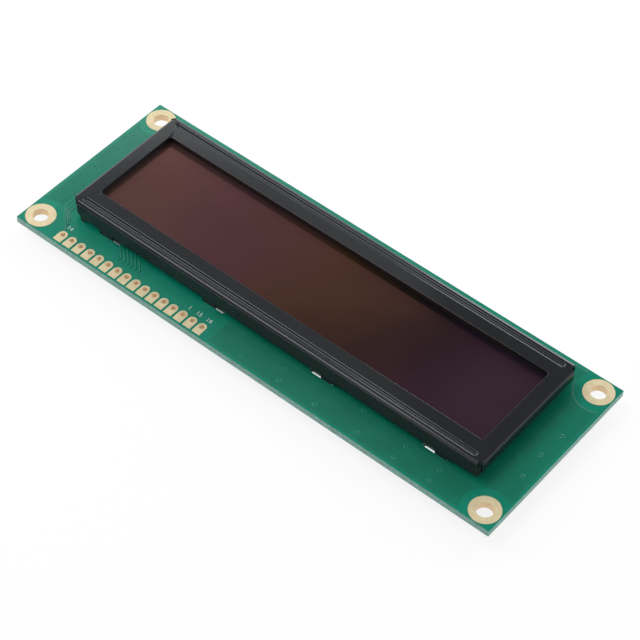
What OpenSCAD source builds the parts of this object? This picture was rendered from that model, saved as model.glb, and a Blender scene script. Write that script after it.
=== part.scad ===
// Graphic OLED module: a circuit board with a folded steel bezel over a flat display panel.
// X runs along the board, Y across it and Z out of the display's face.
// The origin is the middle of the board's back face, between the four corner holes.

/* [Board] */
// Length of the circuit board
board_l = 122; // [116:0.5:140]
// Width of the circuit board
board_w = 44; // [43:0.5:56]
// Thickness of the circuit board
board_t = 1.6; // [1:0.1:2.4]
// Thickness of the plating on the lands and in the holes
plate_t = 0.05; // [0.03:0.01:0.1]

/* [Corner holes] */
// Diameter of a corner hole inside its plating
hole_d = 3.5; // [2.5:0.1:3.8]
// Distance from a corner hole's centre to the two board edges beside it
hole_inset = 3.5; // [3.5:0.1:4.2]
// Width of the bare plated ring round a corner hole
ring_w = 1.5; // [0.6:0.05:1.6]

/* [Pin row] */
// Number of connector pins
pin_count = 16; // [2:1:18]
// Spacing of the connector pins
pin_pitch = 2.54; // [2.3:0.01:2.6]
// Diameter of a pin hole inside its plating
pin_hole_d = 1; // [0.6:0.05:1.2]
// Distance from the first pin's centre to the board's left edge
pin_start = 10.8; // [9:0.1:14]
// Distance from the pin centres to the board's lower edge
pin_edge = 2.5; // [2.2:0.1:3]
// Width of a pin land
land_w = 2; // [1.7:0.05:2.2]
// Bare strip between the flat ends of the lands and the board's lower edge
land_edge = 0.5; // [0.3:0.1:0.9]

/* [Bezel] */
// Length of the bezel
bezel_l = 105.5; // [100:0.5:106]
// Width of the bezel
bezel_w = 31.8; // [31:0.1:33]
// Height of the bezel's face above the board
bezel_h = 5; // [4.6:0.1:7]
// Distance of the bezel's middle above the board's middle
bezel_y = 1.8; // [1:0.1:2.2]
// Thickness of the bezel's sheet
sheet_t = 0.4; // [0.3:0.05:0.5]
// Outer radius of the bezel's folds
bend_r = 0.7; // [0.6:0.05:0.9]
// Gap between the long walls' lower edges and the board
wall_gap = 1.1; // [0.6:0.1:1.5]
// Depth of the lips on the short sides
lip_drop = 2.1; // [1.2:0.1:2.6]
// Distance from the bezel's corners to the ends of its folds
corner_gap = 1.25; // [1.2:0.05:1.6]
// Cut across the corners of the bezel's face
corner_cut = 1; // [0.9:0.05:1.1]
// Shift of each long wall with its tabs towards its right-hand end, seen from outside
wall_shift = 0.35; // [0:0.05:0.35]

/* [Window] */
// Width of the bezel's face beside the window's short sides
border_x = 3.45; // [3:0.05:5]
// Width of the bezel's face beside the window's long sides
border_y = 5.2; // [4.6:0.05:6]
// Corner radius of the window
window_r = 0.6; // [0.4:0.1:2]
// Radius of the window's rolled edge
rim_r = 0.1; // [0.05:0.05:0.25]

/* [Pressed grooves] */
// Width of a pressed groove
groove_w = 1.4; // [1.2:0.05:1.6]
// Depth of a pressed groove
groove_depth = 0.4; // [0.2:0.05:0.45]
// Width of a groove's flat floor
groove_floor = 0.2; // [0.1:0.05:0.4]
// Distance from a groove's middle to the bezel's long side
groove_inset = 1.75; // [1.7:0.05:2.2]
// Distance from a groove's end to the bezel's short side
groove_end = 2; // [1.6:0.1:6]

/* [Legs and tabs] */
// Distance from the bezel's middle to the inner tabs
tab_inner_x = 15.1; // [10:0.1:24]
// Distance from the bezel's middle to the outer tabs
tab_outer_x = 43.2; // [34:0.1:44]
// Width of a tab
tab_w = 2.7; // [2:0.1:3.2]
// Reach of a tab below the board
tab_drop = 2.2; // [1.9:0.1:2.8]
// Twist of a tab from its neck to its end
tab_twist = 38; // [25:1:50]
// Width of the sloping shoulder beside a leg
shoulder = 1.1; // [0.6:0.1:1.6]
// Length of the twisted part of a tab
twist_l = 1.2; // [0.8:0.1:1.6]
// Length of a tab slot
slot_l = 5.9; // [5:0.1:7]
// Width of a tab slot
slot_w = 1.35; // [1:0.05:1.8]
// Corner radius of a tab slot
slot_r = 0.25; // [0.15:0.05:0.25]
// Clearance between a tab and the outer end of its slot
slot_clear = 0.15; // [0.15:0.05:0.6]
// Clearance between a tab and the outer side of its slot
slot_side = 0.05; // [0.05:0.05:0.3]
// Width of a corner foot where it stands on the board
foot_w = 0.7; // [0.5:0.1:1]
// Distance from a corner foot to the end of its wall
foot_end = 0.9; // [0.8:0.1:2]

/* [Panel] */
// Depth of the panel's face below the bezel's face
face_depth = 1.55; // [1.2:0.05:2]
// Gap between the panel and the bezel's short lips
panel_gap_x = 1.35; // [0.8:0.05:2]
// Gap between the panel and the bezel's long walls
panel_gap_y = 2; // [1.8:0.05:2.2]
// Thickness of the front film
film_t = 0.2; // [0.1:0.05:0.3]
// Width of the bare glass border round the front film
film_border = 0.6; // [0.3:0.1:0.8]
// Thickness of the front glass
glass_t = 0.7; // [0.5:0.1:0.8]
// Thickness of the rear cover glass
cap_t = 0.7; // [0.4:0.1:0.8]
// Width of the front glass that the rear cover leaves bare for the flexible tail
ledge_w = 3.4; // [3:0.1:4.5]
// Border of the front glass round the rear cover's other sides
cap_border = 0.8; // [0.4:0.1:1.5]

/* [Gasket and foam] */
// Setback of the gasket from the window's edge
gasket_back = 0.3; // [0.1:0.05:0.6]
// Width of the gasket
gasket_w = 1; // [0.6:0.05:1.1]
// Width of a foam strip
foam_w = 4; // [3:0.5:6]
// Distance from the foam strips to the edges of the rear cover
foam_inset = 2.5; // [1.5:0.5:4]

/* [Flexible tail] */
// Width of the flexible tail
tail_w = 58; // [30:1:80]
// Thickness of the flexible tail
tail_t = 0.12; // [0.08:0.02:0.2]
// Length of the tail's bonded ends
tail_bond = 2.6; // [1.5:0.1:2.9]

/* [Controller] */
// Diameter of the controller's epoxy dome
dome_d = 15; // [11:0.5:17]
// Height of the epoxy dome
dome_h = 1.5; // [1:0.1:1.8]
// Place of the epoxy dome along the board
dome_x = -4; // [-8:0.5:0]
// Place of the epoxy dome across the board
dome_y = 2; // [0:0.5:4]

/* [Supply coil] */
// Width of the coil's square shield
coil_w = 5; // [4.6:0.1:6]
// Height of the coil above its terminals
coil_h = 1.7; // [1.4:0.1:1.8]
// Wall of the shield at its thinnest
coil_wall = 0.4; // [0.3:0.05:0.6]
// Thickness of the coil's terminals
coil_pad_t = 0.1; // [0.08:0.02:0.15]
// Place of the coil along the board
coil_x = 25; // [23:0.5:28]
// Place of the coil across the board
coil_y = 4; // [2:0.5:6]

/* [Chips] */
// Length of a chip resistor or capacitor
chip_l = 2; // [1.6:0.1:2.2]
// Width of a chip resistor or capacitor
chip_w = 1.25; // [0.8:0.05:1.4]
// Height of a chip resistor
resistor_h = 0.5; // [0.35:0.05:0.6]
// Height of a chip capacitor
capacitor_h = 1; // [0.7:0.05:1.2]
// Length of a chip's tinned end
chip_end = 0.4; // [0.2:0.05:0.5]
// Number of chip resistors in the row
resistor_count = 8; // [2:1:9]
// Number of chip capacitors in the row
capacitor_count = 5; // [2:1:6]
// Spacing of the chips in a row
chip_pitch = 2.6; // [2.2:0.1:3]
// Number of solder jumpers
jumper_count = 3; // [1:1:4]

/* [Hidden] */
$fn = 64;

// Overlap of a cutting shape past the face that it opens
over = 0.5;

// Levels above the board's back face
face_z = board_t + bezel_h;
under_z = face_z - sheet_t;
wall_z = board_t + wall_gap;
film_z = face_z - face_depth;
glass_z = film_z - film_t - glass_t;
cap_z = glass_z - cap_t;

// Window in the bezel's face
window_l = bezel_l - 2 * border_x;
window_w = bezel_w - 2 * border_y;

// Panel outline and the front edge of its rear cover
panel_l = bezel_l - 2 * (sheet_t + panel_gap_x);
panel_w = bezel_w - 2 * (sheet_t + panel_gap_y);
cap_l = panel_l - 2 * cap_border;
cap_y0 = -panel_w / 2 + ledge_w;
cap_y1 = panel_w / 2 - cap_border;

// Folds: straight length along each side and the middle of the wall's thickness
wall_l = bezel_l - 2 * corner_gap;
lip_l = bezel_w - 2 * corner_gap;
wall_mid = (bezel_w - sheet_t) / 2;

// Slots in the board, from the tabs that stand in them
slot_offset = (slot_l - tab_w) / 2 - slot_clear - wall_shift;
slot_mid = wall_mid - (slot_w - sheet_t) / 2 + slot_side;
tab_places = [-tab_outer_x, -tab_inner_x, tab_inner_x, tab_outer_x];

// Arcs of a groove's side: two equal arcs that meet half way down
groove_side = (groove_w - groove_floor) / 2;
groove_turn = 2 * atan(groove_depth / groove_side);
groove_r = groove_side / (2 * sin(groove_turn));
groove_l = bezel_l - 2 * groove_end - groove_w;

// Flexible tail: radius of the fold from the panel's ledge down to the board
tail_r = (glass_z - board_t) / 2;

// Supply coil: bore of the shield, drum and winding
coil_bore = coil_w - 2 * coil_wall;
core_clear = 0.1;
core_d = coil_bore - 2 * core_clear;
core_post_d = core_d * 0.45;
core_flange = coil_h / 4;
winding_d = core_d - 2 * core_clear;
coil_chamfer = coil_w / 8;
coil_pad_w = coil_w / 3;

// Diode and converter: moulded bodies with flat leads
diode_l = 2.7;
diode_w = 1.6;
converter_l = 2.9;
converter_w = 1.6;
mould_h = 1;
mould_lift = 0.1;
lead_t = 0.12;
lead_out = 0.6;
lead_w = 0.4;
lead_pitch = 0.95;
diode_x = coil_x + coil_w / 2 + 4;
converter_x = coil_x - coil_w / 2 - 4;

// Rows of chips and jumpers on the back
resistor_x = dome_x - dome_d / 2 - 4 - (resistor_count - 1) * chip_pitch;
capacitor_x = coil_x - (capacitor_count - 1) * chip_pitch / 2;
capacitor_y = coil_y - coil_w / 2 - 4;
jumper_pitch = 4;
jumper_land_l = 1;
jumper_land_w = 1.6;
jumper_gap = 0.4;
jumper_x = dome_x - (jumper_count - 1) * jumper_pitch / 2;
jumper_y = dome_y - dome_d / 2 - 4;

// Both signs of a mirrored pair
sides = [-1, 1];

// Puts its children at the four corner holes
module at_corners() {
    for (sx = sides, sy = sides)
        translate([sx * (board_l / 2 - hole_inset), sy * (board_w / 2 - hole_inset), 0])
            children();
}

// Puts its children at the pin holes
module at_pins() {
    for (i = [0 : pin_count - 1])
        translate([pin_start - board_l / 2 + i * pin_pitch, pin_edge - board_w / 2, 0])
            children();
}

// Turns a piece that stands on Z = 0 to hang from the board's back face
module on_back(x, y) {
    translate([x, y, 0])
        mirror([0, 0, 1])
            children();
}

// Flat rectangle with round corners, centred
module round_rect(l, w, r) {
    square([l - 2 * r, w], center = true);
    square([l, w - 2 * r], center = true);
    for (sx = sides, sy = sides)
        translate([sx * (l / 2 - r), sy * (w / 2 - r)])
            circle(r);
}

// Hole lining with the outline of its lands on both faces of the board
module plated_hole(d) {
    difference() {
        union() {
            cylinder(d = d + 2 * plate_t, h = board_t);
            for (z = [-plate_t, board_t])
                translate([0, 0, z])
                    linear_extrude(plate_t)
                        children();
        }
        translate([0, 0, -over])
            cylinder(d = d, h = board_t + 2 * over);
    }
}

// Glass-epoxy board with its corner holes, pin holes and tab slots
module circuit_board() {
    color("seagreen")
        difference() {
            translate([-board_l / 2, -board_w / 2, 0])
                cube([board_l, board_w, board_t]);
            at_corners()
                translate([0, 0, -over])
                    cylinder(d = hole_d + 2 * plate_t, h = board_t + 2 * over);
            at_pins()
                translate([0, 0, -over])
                    cylinder(d = pin_hole_d + 2 * plate_t, h = board_t + 2 * over);
            for (x = tab_places, sy = sides)
                translate([x - sign(x) * slot_offset, bezel_y + sy * slot_mid, -over])
                    linear_extrude(board_t + 2 * over)
                        round_rect(slot_l, slot_w, slot_r);
        }
}

// Plated rings with the linings of the corner holes
module corner_rings() {
    color("palegoldenrod")
        at_corners()
            plated_hole(hole_d)
                circle(d = hole_d + 2 * ring_w);
}

// Plated pin lands: a round end at the hole and a flat end towards the board's edge
module pin_lands() {
    color("palegoldenrod")
        at_pins()
            plated_hole(pin_hole_d)
                union() {
                    circle(d = land_w);
                    translate([-land_w / 2, land_edge - pin_edge])
                        square([land_w, pin_edge - land_edge]);
                }
}

// Section of a folded edge: the bend and a straight stretch below it that is drop deep in all
module fold_section(drop) {
    intersection() {
        difference() {
            circle(bend_r);
            circle(bend_r - sheet_t);
        }
        square(bend_r);
    }
    translate([bend_r - sheet_t, bend_r - drop])
        square([sheet_t, drop - bend_r]);
}

// Outline of a long wall below its bend, with its legs, the necks of its tabs and one foot
module wall_outline() {
    end = wall_l / 2;
    foot_x = end - foot_end - foot_w;
    polygon([
        [-end, face_z - bend_r], [end, face_z - bend_r], [end, wall_z + foot_end],
        [end - foot_end, wall_z], [foot_end - end, wall_z], [-end, wall_z + foot_end]
    ]);
    polygon([
        [-foot_x, board_t], [-foot_x - foot_w, board_t], [-end + foot_end, wall_z + sheet_t],
        [-foot_x + wall_gap, wall_z + sheet_t], [-foot_x + wall_gap, wall_z]
    ]);
    for (x = tab_places)
        translate([x, 0])
            leg_outline(sign(x));
}

// Outline of a leg and its tab's neck, with the sloping shoulder on the side away from the middle
module leg_outline(away) {
    edge = away * tab_w / 2;
    slope = away * (tab_w / 2 + shoulder);
    polygon([
        [-edge, 0], [edge, 0], [edge, board_t + wall_gap / 4],
        [slope, wall_z], [slope, wall_z + sheet_t], [-edge, wall_z + sheet_t]
    ]);
}

// Half section of a pressed groove, below a face at height 0
module groove_section() {
    floor_x = groove_floor / 2;
    difference() {
        union() {
            polygon([
                [0, over], [groove_w / 2, over], [groove_w / 2, 0],
                [floor_x + groove_side / 2, -groove_depth / 2],
                [floor_x, -groove_depth], [0, -groove_depth]
            ]);
            intersection() {
                translate([floor_x, groove_r - groove_depth])
                    circle(groove_r);
                translate([0, -groove_depth])
                    square([groove_w / 2, groove_depth]);
            }
        }
        translate([groove_w / 2, -groove_r])
            circle(groove_r);
    }
}

// Half section of the sheet that a groove pushes out below the face
module groove_back_section() {
    polygon([
        [0, -sheet_t / 2], [groove_w / 2 + sheet_t / 2, -sheet_t / 2],
        [groove_w / 2 + sheet_t / 2, -sheet_t],
        [groove_floor / 2 + sheet_t, -sheet_t - groove_depth], [0, -sheet_t - groove_depth]
    ]);
}

// Straight run with round ends along X, from a half section
module groove_run() {
    rotate([90, 0, 90])
        linear_extrude(groove_l, center = true) {
            children();
            mirror([1, 0])
                children();
        }
    for (sx = sides)
        translate([sx * groove_l / 2, 0, 0])
            rotate_extrude(angle = 360)
                children();
}

// Window opening with its rolled upper edge
module window_cut() {
    straight = [window_l - 2 * window_r, window_w - 2 * window_r];
    translate([0, 0, under_z - over])
        linear_extrude(sheet_t + 2 * over)
            round_rect(window_l, window_w, window_r);
    for (turn = [0 : 3])
        rotate(turn * 90)
            translate([0, turn % 2 == 0 ? window_w / 2 : window_l / 2, face_z])
                rotate([90, 0, 90])
                    linear_extrude(straight[turn % 2], center = true)
                        rim_section(0);
    for (sx = sides, sy = sides)
        translate([sx * straight[0] / 2, sy * straight[1] / 2, face_z])
            rotate_extrude(angle = 360)
                rim_section(window_r);
}

// Corner that the rolled edge takes off the sheet, at a distance from the axis of the turn
module rim_section(distance) {
    translate([distance, 0])
        difference() {
            translate([0, -rim_r])
                square([rim_r, rim_r + over]);
            translate([rim_r, -rim_r])
                circle(rim_r);
        }
}

// End of a tab: twisted behind the board so that it hooks there, then straight
module tab_end() {
    mirror([0, 0, 1])
        linear_extrude(twist_l, twist = tab_twist, slices = 6, $fn = 8)
            square([tab_w, sheet_t], center = true);
    translate([0, 0, -tab_drop])
        rotate(-tab_twist)
            linear_extrude(tab_drop - twist_l)
                square([tab_w, sheet_t], center = true);
}

// Outline of the face between the folds, with a cut corner left flat beyond each pair of folds
module face_outline() {
    flat_l = bezel_l / 2 - bend_r;
    ear_w = bezel_w / 2 - corner_cut;
    square([bezel_l - 2 * bend_r, bezel_w - 2 * bend_r], center = true);
    for (sx = sides, sy = sides)
        polygon([
            [sx * (flat_l - sheet_t), sy * ear_w], [sx * (flat_l + bend_r), sy * ear_w],
            [sx * flat_l, sy * (ear_w + bend_r)], [sx * flat_l, sy * (bezel_w / 2 - bend_r)]
        ]);
}

// One long side: bend, wall with legs and foot, tabs and the back of the pressed groove
module long_side() {
    translate([-wall_shift, 0, 0]) {
        translate([0, bezel_w / 2 - bend_r, face_z - bend_r])
            rotate([90, 0, 90])
                linear_extrude(wall_l, center = true)
                    fold_section(bend_r + sheet_t);
        translate([0, bezel_w / 2, 0])
            rotate([90, 0, 0])
                linear_extrude(sheet_t)
                    mirror([1, 0])
                        wall_outline();
        for (x = tab_places)
            translate([x, wall_mid, 0])
                tab_end();
    }
    translate([0, bezel_w / 2 - groove_inset, face_z])
        groove_run()
            groove_back_section();
}

// Folded sheet-steel frame with its window, pressed grooves, legs and tabs
module bezel() {
    color("dimgray")
        translate([0, bezel_y, 0])
            difference() {
                union() {
                    translate([0, 0, under_z])
                        linear_extrude(sheet_t)
                            face_outline();
                    for (turn = [0, 180])
                        rotate(turn) {
                            long_side();
                            translate([bezel_l / 2 - bend_r, 0, face_z - bend_r])
                                rotate([90, 0, 0])
                                    linear_extrude(lip_l, center = true)
                                        fold_section(lip_drop);
                        }
                }
                window_cut();
                for (sy = sides)
                    translate([0, sy * (bezel_w / 2 - groove_inset), face_z])
                        groove_run()
                            groove_section();
            }
}

// Foam frame squeezed between the bezel and the panel's face
module window_gasket() {
    inner_l = window_l + 2 * gasket_back;
    inner_w = window_w + 2 * gasket_back;
    color("black")
        translate([0, bezel_y, film_z])
            linear_extrude(under_z - film_z)
                difference() {
                    square([inner_l + 2 * gasket_w, inner_w + 2 * gasket_w], center = true);
                    square([inner_l, inner_w], center = true);
                }
}

// Dark polarising film on the panel's face
module front_film() {
    color("saddlebrown")
        translate([0, bezel_y, film_z - film_t / 2])
            cube([panel_l - 2 * film_border, panel_w - 2 * film_border, film_t], center = true);
}

// Front glass of the panel
module panel_glass() {
    color("lightsteelblue")
        translate([0, bezel_y, glass_z + glass_t / 2])
            cube([panel_l, panel_w, glass_t], center = true);
}

// Rear cover glass, which leaves one long ledge of the front glass bare
module panel_cap() {
    color("lightslategray")
        translate([-cap_l / 2, bezel_y + cap_y0, cap_z])
            cube([cap_l, cap_y1 - cap_y0, cap_t]);
}

// Adhesive foam strips between the rear cover and the board
module foam_strips() {
    color("whitesmoke")
        for (y = [cap_y0 + foam_inset, cap_y1 - foam_inset - foam_w])
            translate([foam_inset - cap_l / 2, bezel_y + y, board_t])
                cube([cap_l - 2 * foam_inset, foam_w, cap_z - board_t]);
}

// Flexible tail: bonded under the panel's ledge, folded down and soldered to the board
module flex_tail() {
    color("darkorange")
        translate([0, bezel_y - panel_w / 2, board_t])
            rotate([90, 0, 90])
                linear_extrude(tail_w, center = true) {
                    for (y = [0, 2 * tail_r - tail_t])
                        translate([0, y])
                            square([tail_bond, tail_t]);
                    translate([0, tail_r])
                        difference() {
                            circle(tail_r);
                            circle(tail_r - tail_t);
                            translate([0, -2 * tail_r])
                                square(4 * tail_r);
                        }
                }
}

// Epoxy dome over the bonded controller die
module controller_dome() {
    ball_r = (dome_d * dome_d / 4 + dome_h * dome_h) / (2 * dome_h);
    color("black")
        on_back(dome_x, dome_y)
            rotate_extrude()
                intersection() {
                    translate([0, dome_h - ball_r])
                        circle(ball_r, $fn = 360);
                    square([dome_d, dome_h + over]);
                }
}

// Square ferrite shield with cut corners and a round bore
module coil_shield() {
    half = coil_w / 2;
    cut = half - coil_chamfer;
    color("dimgray")
        on_back(coil_x, coil_y)
            translate([0, 0, coil_pad_t])
                linear_extrude(coil_h)
                    difference() {
                        polygon([
                            [half, cut], [cut, half], [-cut, half], [-half, cut],
                            [-half, -cut], [-cut, -half], [cut, -half], [half, -cut]
                        ]);
                        circle(d = coil_bore);
                    }
}

// Ferrite drum: two flanges on a post
module coil_core() {
    color("gray")
        on_back(coil_x, coil_y)
            translate([0, 0, coil_pad_t]) {
                cylinder(d = core_post_d, h = coil_h);
                cylinder(d = core_d, h = core_flange);
                translate([0, 0, coil_h - core_flange])
                    cylinder(d = core_d, h = core_flange);
            }
}

// Copper winding between the drum's flanges
module coil_winding() {
    color("peru")
        on_back(coil_x, coil_y)
            translate([0, 0, coil_pad_t + core_flange])
                linear_extrude(coil_h - 2 * core_flange)
                    difference() {
                        circle(d = winding_d);
                        circle(d = core_post_d);
                    }
}

// Flat terminals that carry the coil on the board
module coil_terminals() {
    color("silver")
        on_back(coil_x, coil_y)
            for (sx = sides)
                translate([sx * (coil_w - coil_pad_w) / 2, 0, coil_pad_t / 2])
                    cube([coil_pad_w, coil_w - 2 * coil_chamfer, coil_pad_t], center = true);
}

// Section of a bent flat lead that leaves a moulded body at half its height
module lead_section() {
    mid = mould_lift + mould_h / 2;
    translate([0, mid - lead_t / 2])
        square([lead_out / 2, lead_t]);
    translate([lead_out / 2 - lead_t, 0])
        square([lead_t, mid + lead_t / 2]);
    translate([lead_out / 2 - lead_t, 0])
        square([lead_out / 2 + lead_t, lead_t]);
}

// One bent flat lead, leaving along +X
module lead(w) {
    rotate([90, 0, 0])
        linear_extrude(w, center = true)
            lead_section();
}

// Moulded body, lifted off the board by its leads
module mould(l, w) {
    translate([0, 0, mould_lift + mould_h / 2])
        cube([l, w, mould_h], center = true);
}

// Moulded body of the rectifier diode
module diode_body() {
    color("black")
        on_back(diode_x, coil_y)
            mould(diode_l, diode_w);
}

// Two flat leads of the diode
module diode_leads() {
    color("silver")
        on_back(diode_x, coil_y)
            for (turn = [0, 180])
                rotate(turn)
                    translate([diode_l / 2, 0, 0])
                        lead(2 * lead_w);
}

// Moulded body of the supply converter
module converter_body() {
    color("black")
        on_back(converter_x, coil_y)
            mould(converter_w, converter_l);
}

// Five leads of the converter: three on one side and two on the other
module converter_leads() {
    color("silver")
        on_back(converter_x, coil_y) {
            for (y = [-lead_pitch, 0, lead_pitch])
                translate([converter_w / 2, y, 0])
                    lead(lead_w);
            for (y = [-lead_pitch, lead_pitch])
                translate([-converter_w / 2, y, 0])
                    mirror([1, 0, 0])
                        lead(lead_w);
        }
}

// Puts its children along the resistor row
module at_resistors() {
    for (i = [0 : resistor_count - 1])
        on_back(resistor_x + i * chip_pitch, dome_y)
            children();
}

// Puts its children along the capacitor row
module at_capacitors() {
    for (i = [0 : capacitor_count - 1])
        on_back(capacitor_x + i * chip_pitch, capacitor_y)
            children();
}

// Body of a chip between its tinned ends
module chip_body(h) {
    translate([0, 0, h / 2])
        cube([chip_w, chip_l - 2 * chip_end, h], center = true);
}

// Two tinned ends of a chip
module chip_caps(h) {
    for (sy = sides)
        translate([0, sy * (chip_l - chip_end) / 2, h / 2])
            cube([chip_w, chip_end, h], center = true);
}

// Bodies of the chip resistors
module resistor_bodies() {
    color("darkslategray")
        at_resistors()
            chip_body(resistor_h);
}

// Tinned ends of the chip resistors
module resistor_caps() {
    color("silver")
        at_resistors()
            chip_caps(resistor_h);
}

// Bodies of the chip capacitors
module capacitor_bodies() {
    color("tan")
        at_capacitors()
            chip_body(capacitor_h);
}

// Tinned ends of the chip capacitors
module capacitor_caps() {
    color("silver")
        at_capacitors()
            chip_caps(capacitor_h);
}

// Pairs of plated lands that a drop of solder can join
module jumper_lands() {
    color("palegoldenrod")
        for (i = [0 : jumper_count - 1], sx = sides)
            on_back(jumper_x + i * jumper_pitch + sx * (jumper_land_l + jumper_gap) / 2, jumper_y)
                translate([0, 0, plate_t / 2])
                    cube([jumper_land_l, jumper_land_w, plate_t], center = true);
}

circuit_board();
corner_rings();
pin_lands();
bezel();
window_gasket();
front_film();
panel_glass();
panel_cap();
foam_strips();
flex_tail();
controller_dome();
coil_shield();
coil_core();
coil_winding();
coil_terminals();
diode_body();
diode_leads();
converter_body();
converter_leads();
resistor_bodies();
resistor_caps();
capacitor_bodies();
capacitor_caps();
jumper_lands();
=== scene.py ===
# Graphic display module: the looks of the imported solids, in metres, in their own frame.
# X runs along the board, Y across it and Z out of the display's face.
from math import atan2, cos, degrees, pi, radians, sin, sqrt

import bmesh
import bpy
from mathutils import Matrix, Vector


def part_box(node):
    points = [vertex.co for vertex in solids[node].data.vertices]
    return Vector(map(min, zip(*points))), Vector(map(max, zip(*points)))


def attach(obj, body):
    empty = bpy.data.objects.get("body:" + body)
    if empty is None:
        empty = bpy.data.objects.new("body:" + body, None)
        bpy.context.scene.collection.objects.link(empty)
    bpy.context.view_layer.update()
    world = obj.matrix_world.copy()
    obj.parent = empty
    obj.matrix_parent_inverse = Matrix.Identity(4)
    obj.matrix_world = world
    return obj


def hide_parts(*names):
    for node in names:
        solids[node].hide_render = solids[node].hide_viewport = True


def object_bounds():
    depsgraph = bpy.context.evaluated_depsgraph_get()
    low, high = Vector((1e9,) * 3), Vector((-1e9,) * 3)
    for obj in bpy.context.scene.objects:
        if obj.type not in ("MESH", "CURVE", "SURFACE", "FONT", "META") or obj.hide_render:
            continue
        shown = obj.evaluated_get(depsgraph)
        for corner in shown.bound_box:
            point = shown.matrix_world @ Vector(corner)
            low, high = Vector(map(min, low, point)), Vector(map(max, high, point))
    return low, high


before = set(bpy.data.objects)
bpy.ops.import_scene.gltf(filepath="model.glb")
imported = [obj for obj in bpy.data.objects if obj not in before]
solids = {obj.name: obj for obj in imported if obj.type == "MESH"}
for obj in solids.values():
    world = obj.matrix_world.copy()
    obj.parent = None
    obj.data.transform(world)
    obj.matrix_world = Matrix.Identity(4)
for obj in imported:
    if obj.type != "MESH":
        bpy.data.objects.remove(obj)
solids_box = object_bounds()

# Circuit board
# Glass-epoxy laminate routed from a sheet, with green solder mask cured on both faces.
# The routed edges stay bare and show the pale glass cloth.
MM = 0.001
MASK_GREEN = (0.004, 0.225, 0.145, 1)
MASK_DEEP = (0.003, 0.190, 0.120, 1)
EDGE_PALE = (0.27, 0.50, 0.45, 1)
EDGE_BROWN = (0.20, 0.30, 0.24, 1)
EDGE_ROUGH = 0.75
CLOTH_PER_METRE = (900, 900, 7000)
CLOTH_LOW, CLOTH_HIGH = 0.40, 0.70
FLAT_FROM, FLAT_TO = 0.45, 0.55
NOISE_LOW, NOISE_HIGH = 0.3, 0.7
board_low, board_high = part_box("circuit_board")
board_top = board_high.z
board_back = board_low.z


def put(tree, kind, inputs=None, **settings):
    """Adds one node, sets it up and joins or fills its inputs."""
    node = tree.nodes.new(kind)
    for key, value in settings.items():
        setattr(node, key, value)
    for key, value in (inputs or {}).items():
        if isinstance(value, bpy.types.NodeSocket):
            tree.links.new(value, node.inputs[key])
        else:
            node.inputs[key].default_value = value
    return node


def mix_colour(tree, share, first, second):
    """Colour between two colours."""
    return put(tree, "ShaderNodeMix", {0: share, 6: first, 7: second}, data_type="RGBA").outputs[2]


def spread(tree, value, low, high, out_low, out_high):
    """Value moved from one range to another, and held at its ends."""
    return put(tree, "ShaderNodeMapRange", {0: value, 1: low, 2: high, 3: out_low, 4: out_high}).outputs[0]


def sums(tree, operation, first, second=0.0):
    """Result of one sum."""
    return put(tree, "ShaderNodeMath", {0: first, 1: second}, operation=operation).outputs[0]


def object_place(tree):
    """Place on the piece, in metres."""
    return put(tree, "ShaderNodeTexCoord").outputs["Object"]


def finish(name, **sockets):
    """New material with one main shader, its plain values set on the shader."""
    material = bpy.data.materials.new(name)
    material.use_nodes = True
    shader = material.node_tree.nodes["Principled BSDF"]
    for key, value in sockets.items():
        shader.inputs[key.replace("_", " ")].default_value = value
    return material, material.node_tree, shader


def grain_group():
    """Shared surface texture: fine grain and slow blotches, by counts per metre."""
    tree = bpy.data.node_groups.new("surface_grain", "ShaderNodeTree")
    for label in ("Grains per metre", "Blotches per metre"):
        tree.interface.new_socket(label, in_out="INPUT", socket_type="NodeSocketFloat")
    for label in ("Grain", "Blotch"):
        tree.interface.new_socket(label, in_out="OUTPUT", socket_type="NodeSocketFloat")
    given = tree.nodes.new("NodeGroupInput")
    result = tree.nodes.new("NodeGroupOutput")
    place = object_place(tree)
    for size, label, detail in (("Grains per metre", "Grain", 2), ("Blotches per metre", "Blotch", 3)):
        noise = put(tree, "ShaderNodeTexNoise", {
            "Vector": place, "Scale": given.outputs[size], "Detail": detail})
        tree.links.new(noise.outputs["Fac"], result.inputs[label])
    return tree


surface_grain = grain_group()


def grained(tree, grains, blotches):
    """Grain and blotch of one material, each between 0 and 1."""
    node = put(tree, "ShaderNodeGroup", node_tree=surface_grain)
    node.inputs["Grains per metre"].default_value = grains
    node.inputs["Blotches per metre"].default_value = blotches
    return [spread(tree, node.outputs[label], NOISE_LOW, NOISE_HIGH, 0, 1) for label in ("Grain", "Blotch")]


def relief(tree, shader, height, depth):
    """Small bumps of the given depth in metres on a shader."""
    bump = put(tree, "ShaderNodeBump", {"Height": height, "Distance": depth})
    tree.links.new(bump.outputs["Normal"], shader.inputs["Normal"])


def surface(name, first, second, rough, grains, blotches, depth, **sockets):
    """Finish that drifts between two colours and two roughnesses, with a fine relief."""
    material, tree, shader = finish(name, **sockets)
    grain, blotch = grained(tree, grains, blotches)
    tree.links.new(mix_colour(tree, blotch, first, second), shader.inputs["Base Color"])
    tree.links.new(spread(tree, grain, 0, 1, *rough), shader.inputs["Roughness"])
    relief(tree, shader, grain, depth)
    return material


def dress(node, material):
    """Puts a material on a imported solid."""
    slots = solids[node].data.materials
    slots.clear()
    slots.append(material)


def on_flat(tree):
    """1 on the flat faces of a piece, 0 on its cut edges and in its holes."""
    normal = put(tree, "ShaderNodeNewGeometry").outputs["Normal"]
    level = sums(tree, "ABSOLUTE", put(tree, "ShaderNodeSeparateXYZ", {0: normal}).outputs[2])
    return spread(tree, level, FLAT_FROM, FLAT_TO, 0, 1)


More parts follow.
